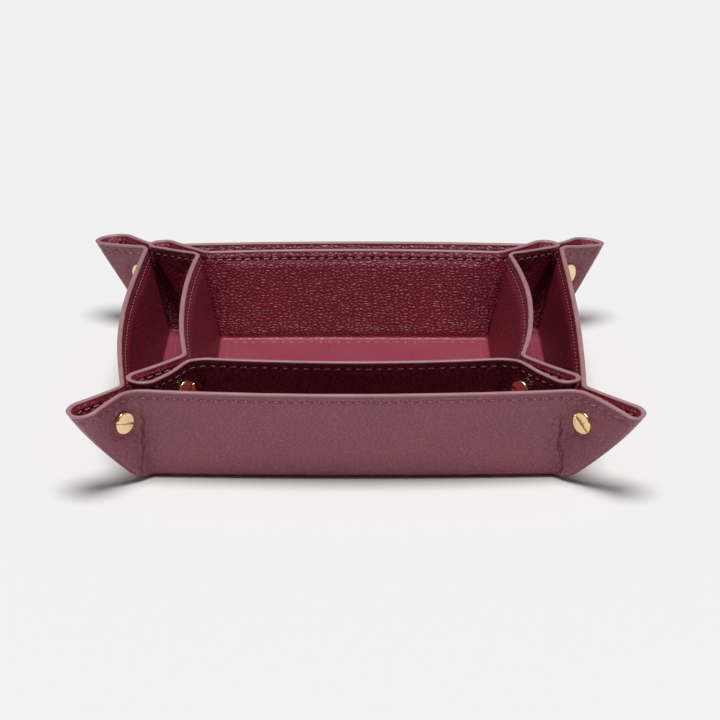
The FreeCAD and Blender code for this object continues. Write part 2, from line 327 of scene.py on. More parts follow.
def skin_rows(tray, rows):
    """Points of a skin for rows of (height share, z above seat, inset, ring shrink).

    A row's height is a share of the way from its z to the rim, which droops at the ears."""
    share, base, inset, shrink = (np.array(column)[:, None] for column in zip(*rows))
    base = base + tray.seat
    slope = math.hypot(1.0, tray.lean / tray.height)

    def half(wall, corner, side):
        rim = tray.seat + tray.height - rim_drop(tray, corner, wall)
        z = base + (rim - base) * share
        rise = (z - tray.seat) / tray.height
        along, out = half_section(tray, corner, wall, rise, inset)
        along, out = press_under_heads(tray, along, out, z, inset)
        length = curve_lengths(along, out)
        flat_out = (tray.base_half + (z - tray.seat) * slope) * shrink
        flat_along = length / length[:, -1:] * flat_out[:, -1:] * side
        even = np.ones_like(z)
        board = along - (tray.base_half - BOARD_END)
        crease = along - (tray.base_half - CREASES.get((corner, wall), CREASE_INSET))
        along, out = along * side * shrink, out * shrink
        return np.stack([
            *at_wall(wall, along, out), z, *at_wall(wall, flat_along, flat_out),
            stitch_places(tray, corner, wall, rim) * even, (rim - z) * slope, board, crease,
            (STATIONS[0] >= 1) * even, (2 * WALLS.index(wall) + (side > 0)) * even,
        ])

    names = ("x", "y", "z", "flat_x", "flat_y", "stitch", "below", "board", "crease", "ear",
             "flank")
    grid = SimpleNamespace(**dict(zip(names, along_walls(half))))
    grid.place = np.stack([grid.x, grid.y, grid.z], axis=-1)
    grid.flat = np.stack([grid.flat_x, grid.flat_y], axis=-1)
    return grid


def grid_normals(place, outward):
    """Unit normals of a grid that closes on itself round the tray."""
    round_way = np.roll(place, -1, axis=1) - np.roll(place, 1, axis=1)
    up_way = np.gradient(place, axis=0)
    normal = np.cross(round_way, up_way) * outward
    return normal / np.maximum(np.linalg.norm(normal, axis=-1, keepdims=True), 1e-9)


# ---------------------------------------------------------------- rows from the middle to the rim

FLOOR_RINGS = (0.06, 0.2, 0.35, 0.5, 0.62, 0.72, 0.8)
SEAM_ZONE = (9.0, 7.0, 6.0, 5.4, 5.0, 4.7, 4.4, 4.0, 3.4, 2.8, 2.2)
UNDER_RIM = (6.6, 6.0, 5.5, 5.1, 4.7, 4.3, 3.9, 3.6, 3.3, 3.0, 2.7, 2.4, 2.0, 1.65, 1.35, 1.05,
             0.75, 0.5, 0.0)
TURN_STEPS = 5


def wall_shares(height, count):
    """Shares of a wall's height, even at first and then closer together under the rim."""
    under = [1 - drop / height for drop in UNDER_RIM]
    even = np.linspace(0, under[0], count, endpoint=False)[1:]
    return list(even) + under


def visible_rows(tray, bottom, inset, turn_radius, count):
    """Rows from the middle of a floor, round its turn and up the wall."""
    half = tray.base_half
    edge = half - inset - turn_radius
    rings = [ring * edge for ring in FLOOR_RINGS]
    rings += [half - distance for distance in SEAM_ZONE if half - distance < edge - 0.3]
    rows = [(0.0, bottom, inset + turn_radius, ring / edge) for ring in rings]
    for step in range(TURN_STEPS + 1):
        angle = step / TURN_STEPS * math.pi / 2
        tuck = turn_radius * (1 - math.sin(angle))
        rise = turn_radius * (1 - math.cos(angle))
        rows.append((0.0, bottom + rise, inset + tuck, 1.0))
    start = bottom + turn_radius
    climb = tray.height - start
    for share in wall_shares(climb, count):
        pared = smooth(PARE_REACH, 0.0, climb * (1 - share)) * RIM_PARE * (inset > LEATHER)
        rows.append((share, start, inset - pared, 1.0))
    return rows


def hidden_rows(tray, bottom, inset, turn):
    """Few rows for the bonded side of a leather, closer together at the wall boards' edges."""
    rows = [(0.0, bottom, inset + turn, ring) for ring in (0.06, 0.5, 0.9, 1.0)]
    start = bottom + turn
    climb = tray.height - start
    foot = (FLOOR_THICK + BOARD_FOOT - start) / climb
    top, edge = 1 - BOARD_TOP / climb, 0.4 / climb
    shares = (0.0, foot - edge, foot + edge, 0.35, 0.6, top - edge, top + edge, 1.0)
    return rows + [(share, start, inset, 1.0) for share in shares]


# ---------------------------------------------------------------- creases, swells and seams

def board_mask(tray, grid, soft):
    """1 over a wall board and 0 beside it, with edges `soft` mm wide."""
    climb = grid.z - tray.seat - FLOOR_THICK
    foot = smooth(BOARD_FOOT - soft / 2, BOARD_FOOT + soft / 2, climb)
    top = smooth(BOARD_TOP - soft / 2, BOARD_TOP + soft / 2, grid.below)
    end = 1 - smooth(-soft / 2, soft / 2, grid.board)
    return foot * top * end


def crease_lines(tray, grid, seed):
    """Height over the foot, distance from the wandering line of each wall's crease beside its
    ear, and how much of it there is at that height."""
    climb = grid.z - tray.seat
    way = np.stack([climb, FLANKS_APART * grid.flank], -1)
    wander = sum(swing * rumple(way, length, seed + 5 * place)
                 for place, (swing, length) in enumerate(CREASE_SWINGS))
    fade = smooth(*CREASE_STARTS, climb) * (1 - smooth(*CREASE_ENDS, climb))
    return climb, grid.crease - wander, fade


def corner_creases(tray, grid, seed):
    """The kink in the leather where each wall turns into its ear: a groove between raised lips,
    with small wrinkles across it."""
    climb, away, fade = crease_lines(tray, grid, seed)
    wander = grid.crease - away
    lips = hump(away - LIP_AWAY, LIP_HALF) + hump(away + LIP_AWAY, LIP_HALF)
    main = hump(away, CREASE_HALF) - 0.35 * lips
    fork = hump(away + 1.5 - 0.4 * wander, 0.36) * smooth(10.0, 16.0, climb)
    fork = fork * (grid.flank % 2 < 1)
    across = np.stack([grid.crease / 4.0 + WRINKLES_APART * grid.flank, climb / 1.3], -1)
    wrinkles = 0.28 * rumple(across, 1.0, seed + 7) * hump(away, 3.4)
    return fade * (main + 0.8 * fork + wrinkles)


def screw_puckers(tray, grid, seed):
    """Small folds that run out from under each screw's head."""
    away_u = np.hypot(grid.x, grid.y) - screw_reach(tray)
    away_z = grid.z - screw_height(tray)
    away = np.hypot(away_u, away_z)
    angle = np.arctan2(away_z, away_u)
    folds = np.cos(9 * angle + 3 * rumple(grid.flat, 12.0, seed))
    near = smooth(HEAD_RADIUS, HEAD_RADIUS + 1.5, away) * hump(away - HEAD_RADIUS, 6.0)
    return folds * near * grid.ear


def rim_marks(grid):
    """The rim seam's shallow channel and the line creased into the leather beside its edge."""
    channel = CHANNEL_DEPTH * hump(grid.below - RIM_SEAM, 0.55)
    return -channel - EDGE_LINE_DEPTH * hump(grid.below - EDGE_LINE, 0.26)


def dress_outside(tray, grid):
    """How far the outside leather stands out of its plain form."""
    wall = smooth(0.0, 6.0, grid.z - tray.seat)
    ripples = rumple(grid.flat * (0.5, 1.0), OUTSIDE.ripple_apart, tray.seed + 1)
    rise = OUTSIDE.swell * rumple(grid.flat, SWELL_APART, tray.seed) * wall
    rise += OUTSIDE.ripple * ripples
    rise += OUTSIDE.board * board_mask(tray, grid, OUTSIDE.board_edge) * wall
    rise += rim_marks(grid)
    rise -= OUTSIDE.crease * corner_creases(tray, grid, tray.seed)
    rise += OUTSIDE.pucker * screw_puckers(tray, grid, tray.seed + 3)
    return rise


def dress_inside(tray, grid):
    """How far the lining stands out of its plain form, into the tray."""
    climb = grid.z - tray.seat - FLOOR_THICK
    wall = smooth(0.5, 3.0, climb)
    ripples = rumple(grid.flat * (0.5, 1.0), INSIDE.ripple_apart, tray.seed + 6)
    rise = INSIDE.board * board_mask(tray, grid, INSIDE.board_edge)
    rise += INSIDE.swell * rumple(grid.flat, SWELL_APART, tray.seed) * wall
    rise += INSIDE.ripple * ripples * wall
    rise += rim_marks(grid)
    rise -= INSIDE.crease * corner_creases(tray, grid, tray.seed + 8) * wall
    return rise


def dress_floor(tray, grid):
    """Height over the plain floor: the seam's groove and a soft swell outside it."""
    reach = np.maximum(np.abs(grid.x), np.abs(grid.y))
    seam = reach - (tray.base_half - BASE_SEAM)
    on_floor = 1 - smooth(0.02, 0.3, grid.z - tray.seat - FLOOR_THICK)
    within = 1 - smooth(-6.0, -2.0, seam)
    rise = -GROOVE_DEPTH * hump(seam, 0.6) + 0.05 * hump(seam - 1.6, 0.8)
    rise += FLOOR_SWELL * rumple(grid.flat, FLOOR_SWELL_APART, tray.seed + 9) * within
    return rise * on_floor


def even_floor(tray, grid, height):
    """Flat places that follow the floor itself over most of it, without the ears' share, and
    pass into the wall's own by its foot."""
    reach = np.maximum(np.abs(grid.x), np.abs(grid.y))
    foot = reach[grid.z - tray.seat < height + 0.01].max()
    slope = math.hypot(1.0, tray.lean / tray.height)
    scale = (tray.base_half + height * slope) / foot
    share = 1 - smooth(foot - 9.0, foot - 2.0, reach)
    plain = grid.place[..., :2] * scale
    return grid.flat + (plain - grid.flat) * share[..., None]


# ---------------------------------------------------------------- meshes

def new_mesh(name, points, faces):
    """A mesh in metres from points in millimetres."""
    mesh = bpy.data.meshes.new(name)
    mesh.from_pydata([tuple(point) for point in np.asarray(points) * MM], [], faces)
    mesh.update()
    return mesh


def add_object(name, data):
    """A new object, put in the scene."""
    thing = bpy.data.objects.new(name, data)
    bpy.context.scene.collection.objects.link(thing)
    return thing


def add_piece(name, points, faces, material, body, shade_smooth=True):
    """A piece of the object, riding on a body."""
    mesh = new_mesh(name, points, faces)
    if shade_smooth:
        mesh.polygons.foreach_set("use_smooth", [True] * len(mesh.polygons))
    mesh.materials.append(material)
    piece = add_object(name, mesh)
    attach(piece, body)
    return piece


def stand_for(node):
    """Hides a node's solid, whose place a piece takes."""
    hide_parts(node)


def grid_faces(rows, columns, first=0, rows_close=False, columns_close=True):
    """Quads of a grid of points that are numbered row by row from `first`."""
    faces = []
    for row in range(rows if rows_close else rows - 1):
        low, high = first + row * columns, first + (row + 1) % rows * columns
        for column in range(columns if columns_close else columns - 1):
            following = (column + 1) % columns
            faces.append((low + column, low + following, high + following, high + column))
    return faces


def closed_grid(rows, columns):
    """Quads of a grid that closes round the tray, and a fan at each end."""
    faces = grid_faces(rows, columns)
    start, end = rows * columns, rows * columns + 1
    last = (rows - 1) * columns
    for column in range(columns):
        following = (column + 1) % columns
        faces.append((start, following, column))
        faces.append((end, last + column, last + following))
    return faces


def add_vectors(mesh, name, values):
    attribute = mesh.attributes.new(name, "FLOAT_VECTOR", "POINT")
    attribute.data.foreach_set("vector", np.asarray(values, np.float32).ravel())


def leather_mesh(name, seen, hidden, seen_outward, material, body):
    """One leather as a closed solid: the seen skin up to the rim, then back down the bonded one.

    "flat" is each point's place on the unfolded sheet.  "seam" is its place along the rim seam in
    stitches, how far it lies below the rim, and how strongly the grain stands up there, which also
    paints the leather paler where the grain is weak: painted sheen.  "fold" is how far it lies from
    the crease beside its ear, its height over the foot, and how sharp the crease is there, which
    also sets how dark the crease is painted: painted shade."""
    place = np.concatenate([seen.place, hidden.place[::-1]])
    flat = np.concatenate([seen.flat, hidden.flat[::-1]]).reshape(-1, 2)
    seam, fold = (
        np.concatenate([
            np.stack([getattr(skin, field) for field in fields], -1)[::way]
            for skin, way in ((seen, 1), (hidden, -1))]).reshape(-1, 3)
        for fields in (("stitch", "below", "grain"), ("wander", "climb", "sharp")))
    faces = closed_grid(*place.shape[:2])
    if seen_outward < 0:
        faces = [face[::-1] for face in faces]
    ends = [place[0].mean(0), place[-1].mean(0)]
    points = np.concatenate([place.reshape(-1, 3), ends])
    piece = add_piece(name, points, faces, material, body)
    flats = np.concatenate([flat, np.zeros((2, 2))])
    add_vectors(piece.data, "flat", np.column_stack([flats, np.zeros(len(flats))]))
    add_vectors(piece.data, "seam", np.concatenate([seam, seam[[0, -1]]]))
    add_vectors(piece.data, "fold", np.concatenate([fold, fold[[0, -1]]]))
    return piece


def make_skins(tray):
    """Both leathers' seen skins with all their creases, and the plain bonded sides."""
    shell = skin_rows(tray, visible_rows(tray, 0.0, 0.0, FOOT_ROUND, SHELL_ROWS))
    shell.grain = 1.0 + EAR_GRAIN * shell.ear
    shell.climb, shell.wander, shell.sharp = crease_lines(tray, shell, tray.seed)
    normal = grid_normals(shell.place, 1.0)
    shell.place = shell.place + normal * dress_outside(tray, shell)[..., None]
    shell.place[..., 2] = np.maximum(shell.place[..., 2], tray.seat)
    shell.normal = grid_normals(shell.place, 1.0)

    lining = skin_rows(
        tray, visible_rows(tray, FLOOR_THICK, 2 * LEATHER, FOLD_ROUND, LINING_ROWS))
    lining.flat = even_floor(tray, lining, FLOOR_THICK)
    climb = lining.z - tray.seat - FLOOR_THICK
    lining.grain = FLOOR_GRAIN + (1 - FLOOR_GRAIN) * smooth(0.2, 1.6, climb)
    lining.climb, lining.wander, lining.sharp = crease_lines(tray, lining, tray.seed + 8)
    lining.sharp = LINING_CREASE * lining.sharp * smooth(1.0, 5.0, climb)
    normal = grid_normals(lining.place, -1.0)
    lining.place = lining.place + normal * dress_inside(tray, lining)[..., None]
    lining.place[..., 2] += dress_floor(tray, lining)
    lining.normal = grid_normals(lining.place, -1.0)

    shell_back = skin_rows(tray, hidden_rows(tray, LEATHER, LEATHER, FOOT_ROUND / 2))
    lining_back = skin_rows(tray, hidden_rows(tray, FLOOR_THICK - LEATHER, LEATHER, 0.6))
    pocket = WALL_BOARD * board_mask(tray, lining_back, 0.8)
    lining_back.place += grid_normals(lining_back.place, -1.0) * pocket[..., None]
    for skin in (shell_back, lining_back):
        skin.grain = np.ones_like(skin.z)
        skin.climb, skin.wander, skin.sharp = crease_lines(tray, skin, tray.seed)
    return SimpleNamespace(
        shell=shell, lining=lining, shell_back=shell_back, lining_back=lining_back)


def make_leathers(tray, skins, outside, inside):
    """The outside leather and the lining, each a solid of its own."""
    for name, seen, hidden, outward, material, node, slot in (
        ("_outside_leather", skins.shell, skins.shell_back, 1, outside, "_shell",
         "outside_leather"),
        ("_lining_leather", skins.lining, skins.lining_back, -1, inside, "_lining",
         "lining_leather"),
    ):
        piece = leather_mesh(
            tray.name + name, seen, hidden, outward, material, tray.name + "_tray")
        stand_for(tray.name + node)


def wall_out(tray, wall, along, z, inset):
    """How far out a wall lies at places along it, at height z above the tray's seat."""
    rise = np.full(TIP + 1, z / tray.height)
    corners = (CORNERS[WALLS.index(wall) - 1], CORNERS[WALLS.index(wall)])
    left, right = (half_section(tray, corner, wall, rise, inset) for corner in corners)
    return np.where(
        along < 0, np.interp(-along, left[0], left[1]), np.interp(along, right[0], right[1]))


def make_wall_boards(tray, material):
    """The stiff board in each wall, bent as the wall is."""
    half = tray.base_half - BOARD_END
    along = np.linspace(-half, half, BOARD_STEPS + 1)
    heights = np.linspace(FLOOR_THICK + BOARD_FOOT, tray.height - BOARD_TOP, BOARD_ROWS)
    ring = [(z, LEATHER + BOARD_SLACK) for z in heights]
    ring += [(z, LEATHER + WALL_BOARD - BOARD_SLACK) for z in heights[::-1]]
    columns = len(along)
    faces = grid_faces(len(ring), columns, rows_close=True, columns_close=False)
    faces.append(tuple(row * columns for row in range(len(ring))))
    faces.append(tuple(row * columns + BOARD_STEPS for row in reversed(range(len(ring)))))
    for wall in WALLS:
        points = []
        for z, inset in ring:
            outs = wall_out(tray, wall, along, z, inset)
            points += [(*at_wall(wall, *place), z + tray.seat) for place in zip(along, outs)]
        piece = add_piece(
            f"{tray.name}_{wall}_board_bent", points, faces, material, tray.name + "_tray",
            shade_smooth=False)
        stand_for(f"{tray.name}_{wall}_board")


def make_edge_paint(tray, skins, material):
    """The smooth painted band over both leathers' cut edges, rounded on top."""
    outside, inside = skins.shell, skins.lining
    out_top, in_top = outside.place[-1], inside.place[-1]
    out_low, in_low = outside.place[-2], inside.place[-2]
    out_way, in_way = outside.normal[-2] * PAINT_PROUD, inside.normal[-2] * PAINT_PROUD
    up = np.array([0.0, 0.0, 1.0])
    ring = [out_low - out_way * 2, out_low + out_way, out_top + out_way + up * PAINT_COAT]
    for share in np.linspace(0.08, 0.92, CROWN_STEPS):
        bulge = PAINT_CROWN * (1 - (2 * share - 1) ** 2) ** 0.5
        ring.append(out_top + (in_top - out_top) * share + up * (PAINT_COAT + bulge))
    ring += [in_top + in_way + up * PAINT_COAT, in_low + in_way, in_low - in_way * 2]
    place = np.stack(ring)
    faces = grid_faces(*place.shape[:2], rows_close=True)
    name = tray.name + "_edge_paint"
    add_piece(name, place.reshape(-1, 3), faces, material, tray.name + "_tray")


# ---------------------------------------------------------------- stitches

STITCH_LENGTH = 3.1
STITCH_RINGS = 7
STITCH_SIDES = 8
RIM_SLANT = 0.16             # how far a stitch turns out of its seam's line
BASE_SLANT = 0.12
SEAM_CORNER = 1.5            # radius of the base seam's corners
SEAM_SINK = 0.3              # the base seam lies this deep in the floor's groove
UNDER_SEAM = 0.42            # and this high over the tray's underside


def stitch_rings(start, end, normal, tilt):
    """One stitch: thread that rises out of a hole, lies on the leather and dips into the next."""
    way = end - start
    length = np.linalg.norm(way)
    way = way / length
    side = np.cross(normal, way)
    rings = []
    for step in range(STITCH_RINGS):
        share = step / (STITCH_RINGS - 1)
        arch = math.sin(math.pi * share) ** 0.6
        centre = start + way * length * share + side * tilt * (share - 0.5)
        centre = centre + normal * (THREAD * (0.62 * arch - 0.42))
        width = THREAD / 2 * (0.55 + 0.5 * math.sin(math.pi * share) ** 0.5)
        for corner in range(STITCH_SIDES):
            angle = corner / STITCH_SIDES * 2 * math.pi
            round_way = side * math.cos(angle) * 1.12 + normal * math.sin(angle) * 0.85
            rings.append(centre + round_way * width)
    return rings


def add_stitch(seam, start, end, normal, tilt):
    """Adds one stitch's thread, closed at both ends, to a seam."""
    first = len(seam.points)
    last = first + (STITCH_RINGS - 1) * STITCH_SIDES
    seam.points += stitch_rings(start, end, normal, tilt)
    seam.faces += grid_faces(STITCH_RINGS, STITCH_SIDES, first)
    seam.faces.append(tuple(first + corner for corner in reversed(range(STITCH_SIDES))))
    seam.faces.append(tuple(last + corner for corner in range(STITCH_SIDES)))


def sew(seam, points, normals, marks, random, tilt):
    """Stitches from each whole mark to the next along a line on the leather."""
    def at(values, mark):
        return np.array([np.interp(mark, marks, values[:, axis]) for axis in range(3)])

    for hole in range(math.ceil(marks[0] - 0.01), round(marks[-1])):
        middle = hole + 0.5
        half = STITCH_LENGTH / STITCH / 2 * random.uniform(0.95, 1.05)
        normal = at(normals, middle)
        normal /= np.linalg.norm(normal)
        slant = tilt + random.uniform(-0.06, 0.06)
        add_stitch(seam, at(points, middle - half), at(points, middle + half), normal, slant)


def make_rim_stitches(tray, skins, material, random):
    """The rim seam on both leathers, wall by wall from one ear's tip to the next one's."""
    seam = SimpleNamespace(points=[], faces=[])
    for skin in (skins.shell, skins.lining):
        row = int(np.argmin(np.abs(skin.below[:, TIP] - RIM_SEAM)))
        for wall in range(len(WALLS)):
            columns = (np.arange(2 * TIP + 1) + wall * 2 * TIP) % skin.place.shape[1]
            marks = skin.stitch[row, columns]
            marks[:TIP] *= -1
            marks[-1] = math.ceil(marks[-2])
            sew(seam, skin.place[row, columns], skin.normal[row, columns], marks, random,
                RIM_SLANT)
    name = tray.name + "_rim_stitches"
    piece = add_piece(name, seam.points, seam.faces, material, tray.name + "_tray")
    stand_for(tray.name + "_rim_thread")


def square_line(half, z, per_side=40):
    """A square seam line with small rounded corners."""
    straight = half - SEAM_CORNER
    side = [(along, half) for along in np.linspace(-straight, straight, per_side)]
    for step in range(1, 4):
        bend = step / 4 * math.pi / 2
        side.append((straight + SEAM_CORNER * math.sin(bend),
                     straight + SEAM_CORNER * math.cos(bend)))
    return np.array([(*at_wall(wall, *place), z) for wall in WALLS for place in side])


def make_base_stitches(tray, material, random):
    """The base seam on the tray's floor and under it."""
    seam = SimpleNamespace(points=[], faces=[])
    for z, up in ((FLOOR_THICK - SEAM_SINK, 1.0), (UNDER_SEAM, -1.0)):
        line = square_line(tray.base_half - BASE_SEAM, tray.seat + z)
        line = np.concatenate([line, line[:1]])
        normals = np.tile([0.0, 0.0, up], (len(line), 1))
        length = curve_lengths(line[:, 0], line[:, 1])
        marks = length / length[-1] * round(length[-1] / STITCH)
        sew(seam, line, normals, marks, random, BASE_SLANT)
    name = tray.name + "_base_stitches"
    piece = add_piece(name, seam.points, seam.faces, material, tray.name + "_tray")
    stand_for(tray.name + "_base_thread")


# ---------------------------------------------------------------- screws and posts

SIDES = 72
SLOT_WIDTH = 0.85
SLOT_DEPTH = 0.6
CAP_CROWN = 0.12             # a post's cap is a little domed, a screw's head is flat
POST_END_GAP = 0.4           # the post stops this short of the head
POST_FLOOR = 0.6             # solid end of the post's bore, above its cap
SHANK_END_GAP = 0.6          # the shank stops this short of the bore's end
SHANK_END_BEVEL = 0.3
THREAD_CLEARANCE = 0.05      # radial, between shank and post
EDGE_SOFTEN = 0.06           # bevel on the slot's edges
# Turn of each slot about its screw's axis, in degrees from level
SLOT_TURNS = {
    "outer": {"front_left": -14, "front_right": -42, "back_right": 24, "back_left": 71},
    "inner": {"front_left": 38, "front_right": -15, "back_right": 63, "back_left": -40},
}


def lathe(name, profile):
    """A closed turned shape: profile points are (radius, height), from axis to axis."""
    angles = [side / SIDES * 2 * math.pi for side in range(SIDES)]
    points = [(radius * math.cos(angle), radius * math.sin(angle), height)
              for radius, height in profile[1:-1] for angle in angles]
    rows = len(profile) - 2
    faces = grid_faces(rows, SIDES)
    faces.append(tuple(reversed(range(SIDES))))
    faces.append(tuple((rows - 1) * SIDES + side for side in range(SIDES)))
    return new_mesh(name, points, faces)


def rounded_head(underside, top_crown):
    """Profile of a head: square edge below, a bevel with softened corners and a nearly flat top."""
    r, top = HEAD_RADIUS, underside + HEAD_THICK
    return [
        (r - 0.12, underside), (r, underside + 0.12), (r, top - 0.5),
        (r - 0.05, top - 0.4), (r - 0.36, top - 0.07), (r - 0.46, top - 0.01), (r - 0.6, top),
        (r - 0.75, top - 0.025), (r - 0.9, top - 0.02),
        (r * 0.5, top + top_crown * 0.75), (r * 0.1, top + top_crown),
    ]


def screw_mesh():
    """Slotted screw: its shank, head and slot, about its own Z axis."""
    shank_end = -(SEAT_HALF - POST_FLOOR - SHANK_END_GAP)
    profile = [(0, shank_end), (SHANK_RADIUS - SHANK_END_BEVEL, shank_end),
               (SHANK_RADIUS, shank_end + SHANK_END_BEVEL), (SHANK_RADIUS, SEAT_HALF)]
    profile += rounded_head(SEAT_HALF, 0.0) + [(0, 0)]
    solid = add_object("screw", lathe("screw", profile))
    reach, top = HEAD_RADIUS + 1, SEAT_HALF + HEAD_THICK
    half, low, high = SLOT_WIDTH / 2, top - SLOT_DEPTH, top + 1
    corners = [(x, y, z) for x in (-reach, reach) for y in (-half, half) for z in (low, high)]
    sides = [(0, 1, 3, 2), (4, 6, 7, 5), (0, 4, 5, 1), (2, 3, 7, 6), (0, 2, 6, 4), (1, 5, 7, 3)]
    cutter = add_object("slot", new_mesh("slot", corners, sides))
    cut = solid.modifiers.new("slot", "BOOLEAN")
    cut.object, cut.operation, cut.solver = cutter, "DIFFERENCE", "EXACT"
    soften = solid.modifiers.new("soften", "BEVEL")
    soften.width, soften.segments, soften.limit_method = EDGE_SOFTEN * MM, 2, "ANGLE"
    soften.angle_limit = math.radians(50)
    graph = bpy.context.evaluated_depsgraph_get()
    mesh = bpy.data.meshes.new_from_object(solid.evaluated_get(graph))
    for thing in (solid, cutter):
        bpy.data.objects.remove(thing)
    return mesh


def post_mesh():
    """Post with its round cap: the cap's underside faces up its own Z axis."""
    end = -(SEAT_HALF + HEAD_THICK)
    cap = [(radius, -height) for radius, height in rounded_head(SEAT_HALF, CAP_CROWN)][::-1]
    mouth = SEAT_HALF - POST_END_GAP
    bore = SHANK_RADIUS + THREAD_CLEARANCE
    profile = [(0, end)] + cap + [(POST_RADIUS, -SEAT_HALF), (POST_RADIUS, mouth)]
    profile += [(bore, mouth), (bore, -SEAT_HALF + POST_FLOOR), (0, 0)]
    return lathe("post", profile)


def polished(mesh, brass):
    """A turned mesh in brass, smooth but for its crisp edges."""
    mesh.materials.clear()
    mesh.materials.append(brass)
    mesh.polygons.foreach_set("use_smooth", [True] * len(mesh.polygons))
    mesh.set_sharp_from_angle(angle=math.radians(28))
    return mesh


def head_side(corner):
    """Slotted heads face the front and back walls, caps the side walls."""
    return 1 if corner in ("front_left", "back_right") else -1


def axis_frame(tray, corner, slot_turn):
    """Where a screw sits: its Z axis out of the head, X along its slot."""
    angle = math.radians(CORNER_TURN[corner])
    reach = screw_reach(tray)
    middle = Vector((math.cos(angle) * reach, math.sin(angle) * reach, screw_height(tray))) * MM
    outward = Vector((-math.sin(angle), math.cos(angle), 0.0)) * head_side(corner)
    level = Vector((0, 0, 1)).cross(outward)
    turned = Matrix.Rotation(math.radians(slot_turn), 3, outward) @ level
    columns = (turned, outward.cross(turned), outward)
    rotation = Matrix([[column[row] for column in columns] for row in range(3)]).to_4x4()
    return Matrix.Translation(middle) @ rotation


def place_fixings(tray, screw, post):
    """A screw and its post through each ear."""
    for corner in CORNERS:
        where = axis_frame(tray, corner, SLOT_TURNS[tray.name][corner])
        for kind, mesh, body in (
            ("screw", screw, f"{tray.name}_screw_{corner}"),
            ("post", post, f"{tray.name}_tray"),
        ):
            piece = add_object(f"{tray.name}_{kind}_{corner}_turned", mesh)
            piece.matrix_world = where
            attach(piece, body)
            stand_for(f"{tray.name}_{kind}_{corner}")


# ---------------------------------------------------------------- materials

def colour(code):
    """An sRGB hex colour as linear red, green, blue and alpha."""
    parts = [int(code[i:i + 2], 16) / 255 for i in (1, 3, 5)]
    linear = [part / 12.92 if part <= 0.04045 else ((part + 0.055) / 1.055) ** 2.4 for part in parts]
    return (*linear, 1.0)


def add_node(tree, kind, inputs, stops=(), **settings):
    """Adds a shader node with its settings and links.  inputs holds values, other nodes'
    sockets, or nodes, which give their first output.  stops are a ramp's positions and hex
    colours."""
    node = tree.nodes.new("ShaderNode" + kind)
    for name, value in settings.items():
        setattr(node, name, value)
    for name, value in inputs.items():
        if isinstance(value, bpy.types.Node):
            value = value.outputs[0]
        if isinstance(value, bpy.types.NodeSocket):
            tree.links.new(value, node.inputs[name])
        else:
            node.inputs[name].default_value = value
    while stops and len(node.color_ramp.elements) < len(stops):
        node.color_ramp.elements.new(0.5)
    for place, (position, code) in enumerate(stops):
        element = node.color_ramp.elements[place]
        element.position, element.color = position, colour(code)
    return node


def new_material(name):
    """An empty material and its node tree."""
    material = bpy.data.materials.new(name)
    material.use_nodes = True
    material.node_tree.nodes.clear()
    return material, material.node_tree


def surface(tree, inputs):
    """The shader, whose own sockets hold what is even all over, and the material's output."""
    shader = add_node(tree, "BsdfPrincipled", inputs)
    add_node(tree, "OutputMaterial", {"Surface": shader})


def patterned_surface(tree, tint, stops, height, depth, strength, inputs):
    """A surface tinted by one pattern and raised by another, `depth` mm deep."""
    tinted = add_node(tree, "ValToRGB", {"Fac": tint}, stops=stops)
    bump = add_node(tree, "Bump", {"Height": height, "Distance": depth * MM, "Strength": strength})
    surface(tree, {"Base Color": tinted, "Normal": bump, **inputs})


# Valleys, body and crests: painted shade in the valleys and painted sheen on the crests.  The outer
# tray's outside is painted paler and greyer than the lining, for the sheen of the bright floor
# reflected in it.
OUTSIDE_COLOURS = ("#783946", "#994D5B", "#A86472")
LINING_COLOURS = ("#420A15", "#912338", "#9E5566")
COLOUR_PLACES = (0.0, 0.55, 1.0)
# How deep the marks in the leather are, in heights of a pebble; the needle holes and creases are
# also painted darker by as much, as painted shade
HOLE_DEPTH = 2.0
CREASE_DEPTH = 3.0
PUCKER_DEPTH = 1.4


def pebbles_of(tree, flat, cell, drawn_out, ripple):
    """Pebbles about `cell` mm across: domes drawn out along one way of the hide, with finer
    ripples over them."""
    drift = add_node(tree, "TexNoise", {"Vector": flat, "Scale": 0.35, "Detail": 2.0})
    moved = add_node(
        tree, "VectorMath",
        {0: drift.outputs["Color"], 1: (3.2, 1.6, 0.0), 2: flat}, operation="MULTIPLY_ADD")
    drawn = add_node(
        tree, "VectorMath",
        {0: moved, 1: (drawn_out / cell, 1.0 / cell, 0.0)}, operation="MULTIPLY")
    cells = add_node(
        tree, "TexVoronoi",
        {"Vector": drawn, "Scale": 1.0}, feature="DISTANCE_TO_EDGE", voronoi_dimensions="2D")
    dome = add_node(
        tree, "MapRange",
        {"Value": cells, "From Min": 0.0, "From Max": 0.48}, interpolation_type="SMOOTHSTEP")
    ripples = add_node(
        tree, "TexNoise", {"Vector": drawn, "Scale": 0.9, "Detail": 5.0, "Roughness": 0.55})
    return add_node(tree, "Math", {0: ripples, 1: ripple, 2: dome}, operation="MULTIPLY_ADD")


def needle_marks(tree, seam):
    """The small dimples at the rim seam's needle holes, which the leather's colour also darkens as
    painted shade, and the puckers that they pull.
    """
    turn = add_node(tree, "Math", {0: seam["X"], 1: 2 * math.pi}, operation="MULTIPLY")
    wave = add_node(tree, "Math", {0: turn}, operation="COSINE")
    away = add_node(tree, "Math", {0: seam["Y"], 1: RIM_SEAM + 0.1}, operation="SUBTRACT")
    away = add_node(tree, "Math", {0: away}, operation="ABSOLUTE")
    band = add_node(
        tree, "MapRange",
        {"Value": away, "From Min": 0.25, "From Max": 0.75, "To Min": 1.0, "To Max": 0.0})
    hole = add_node(tree, "MapRange", {"Value": wave, "From Min": 0.45, "From Max": 0.9})
    reach = add_node(
        tree, "MapRange",
        {"Value": away, "From Min": 0.4, "From Max": 2.6, "To Min": 0.5, "To Max": 0.0})
    dimple = add_node(tree, "Math", {0: hole, 1: band}, operation="MULTIPLY")
    pucker = add_node(tree, "Math", {0: wave, 1: reach}, operation="MULTIPLY")
    return dimple, pucker


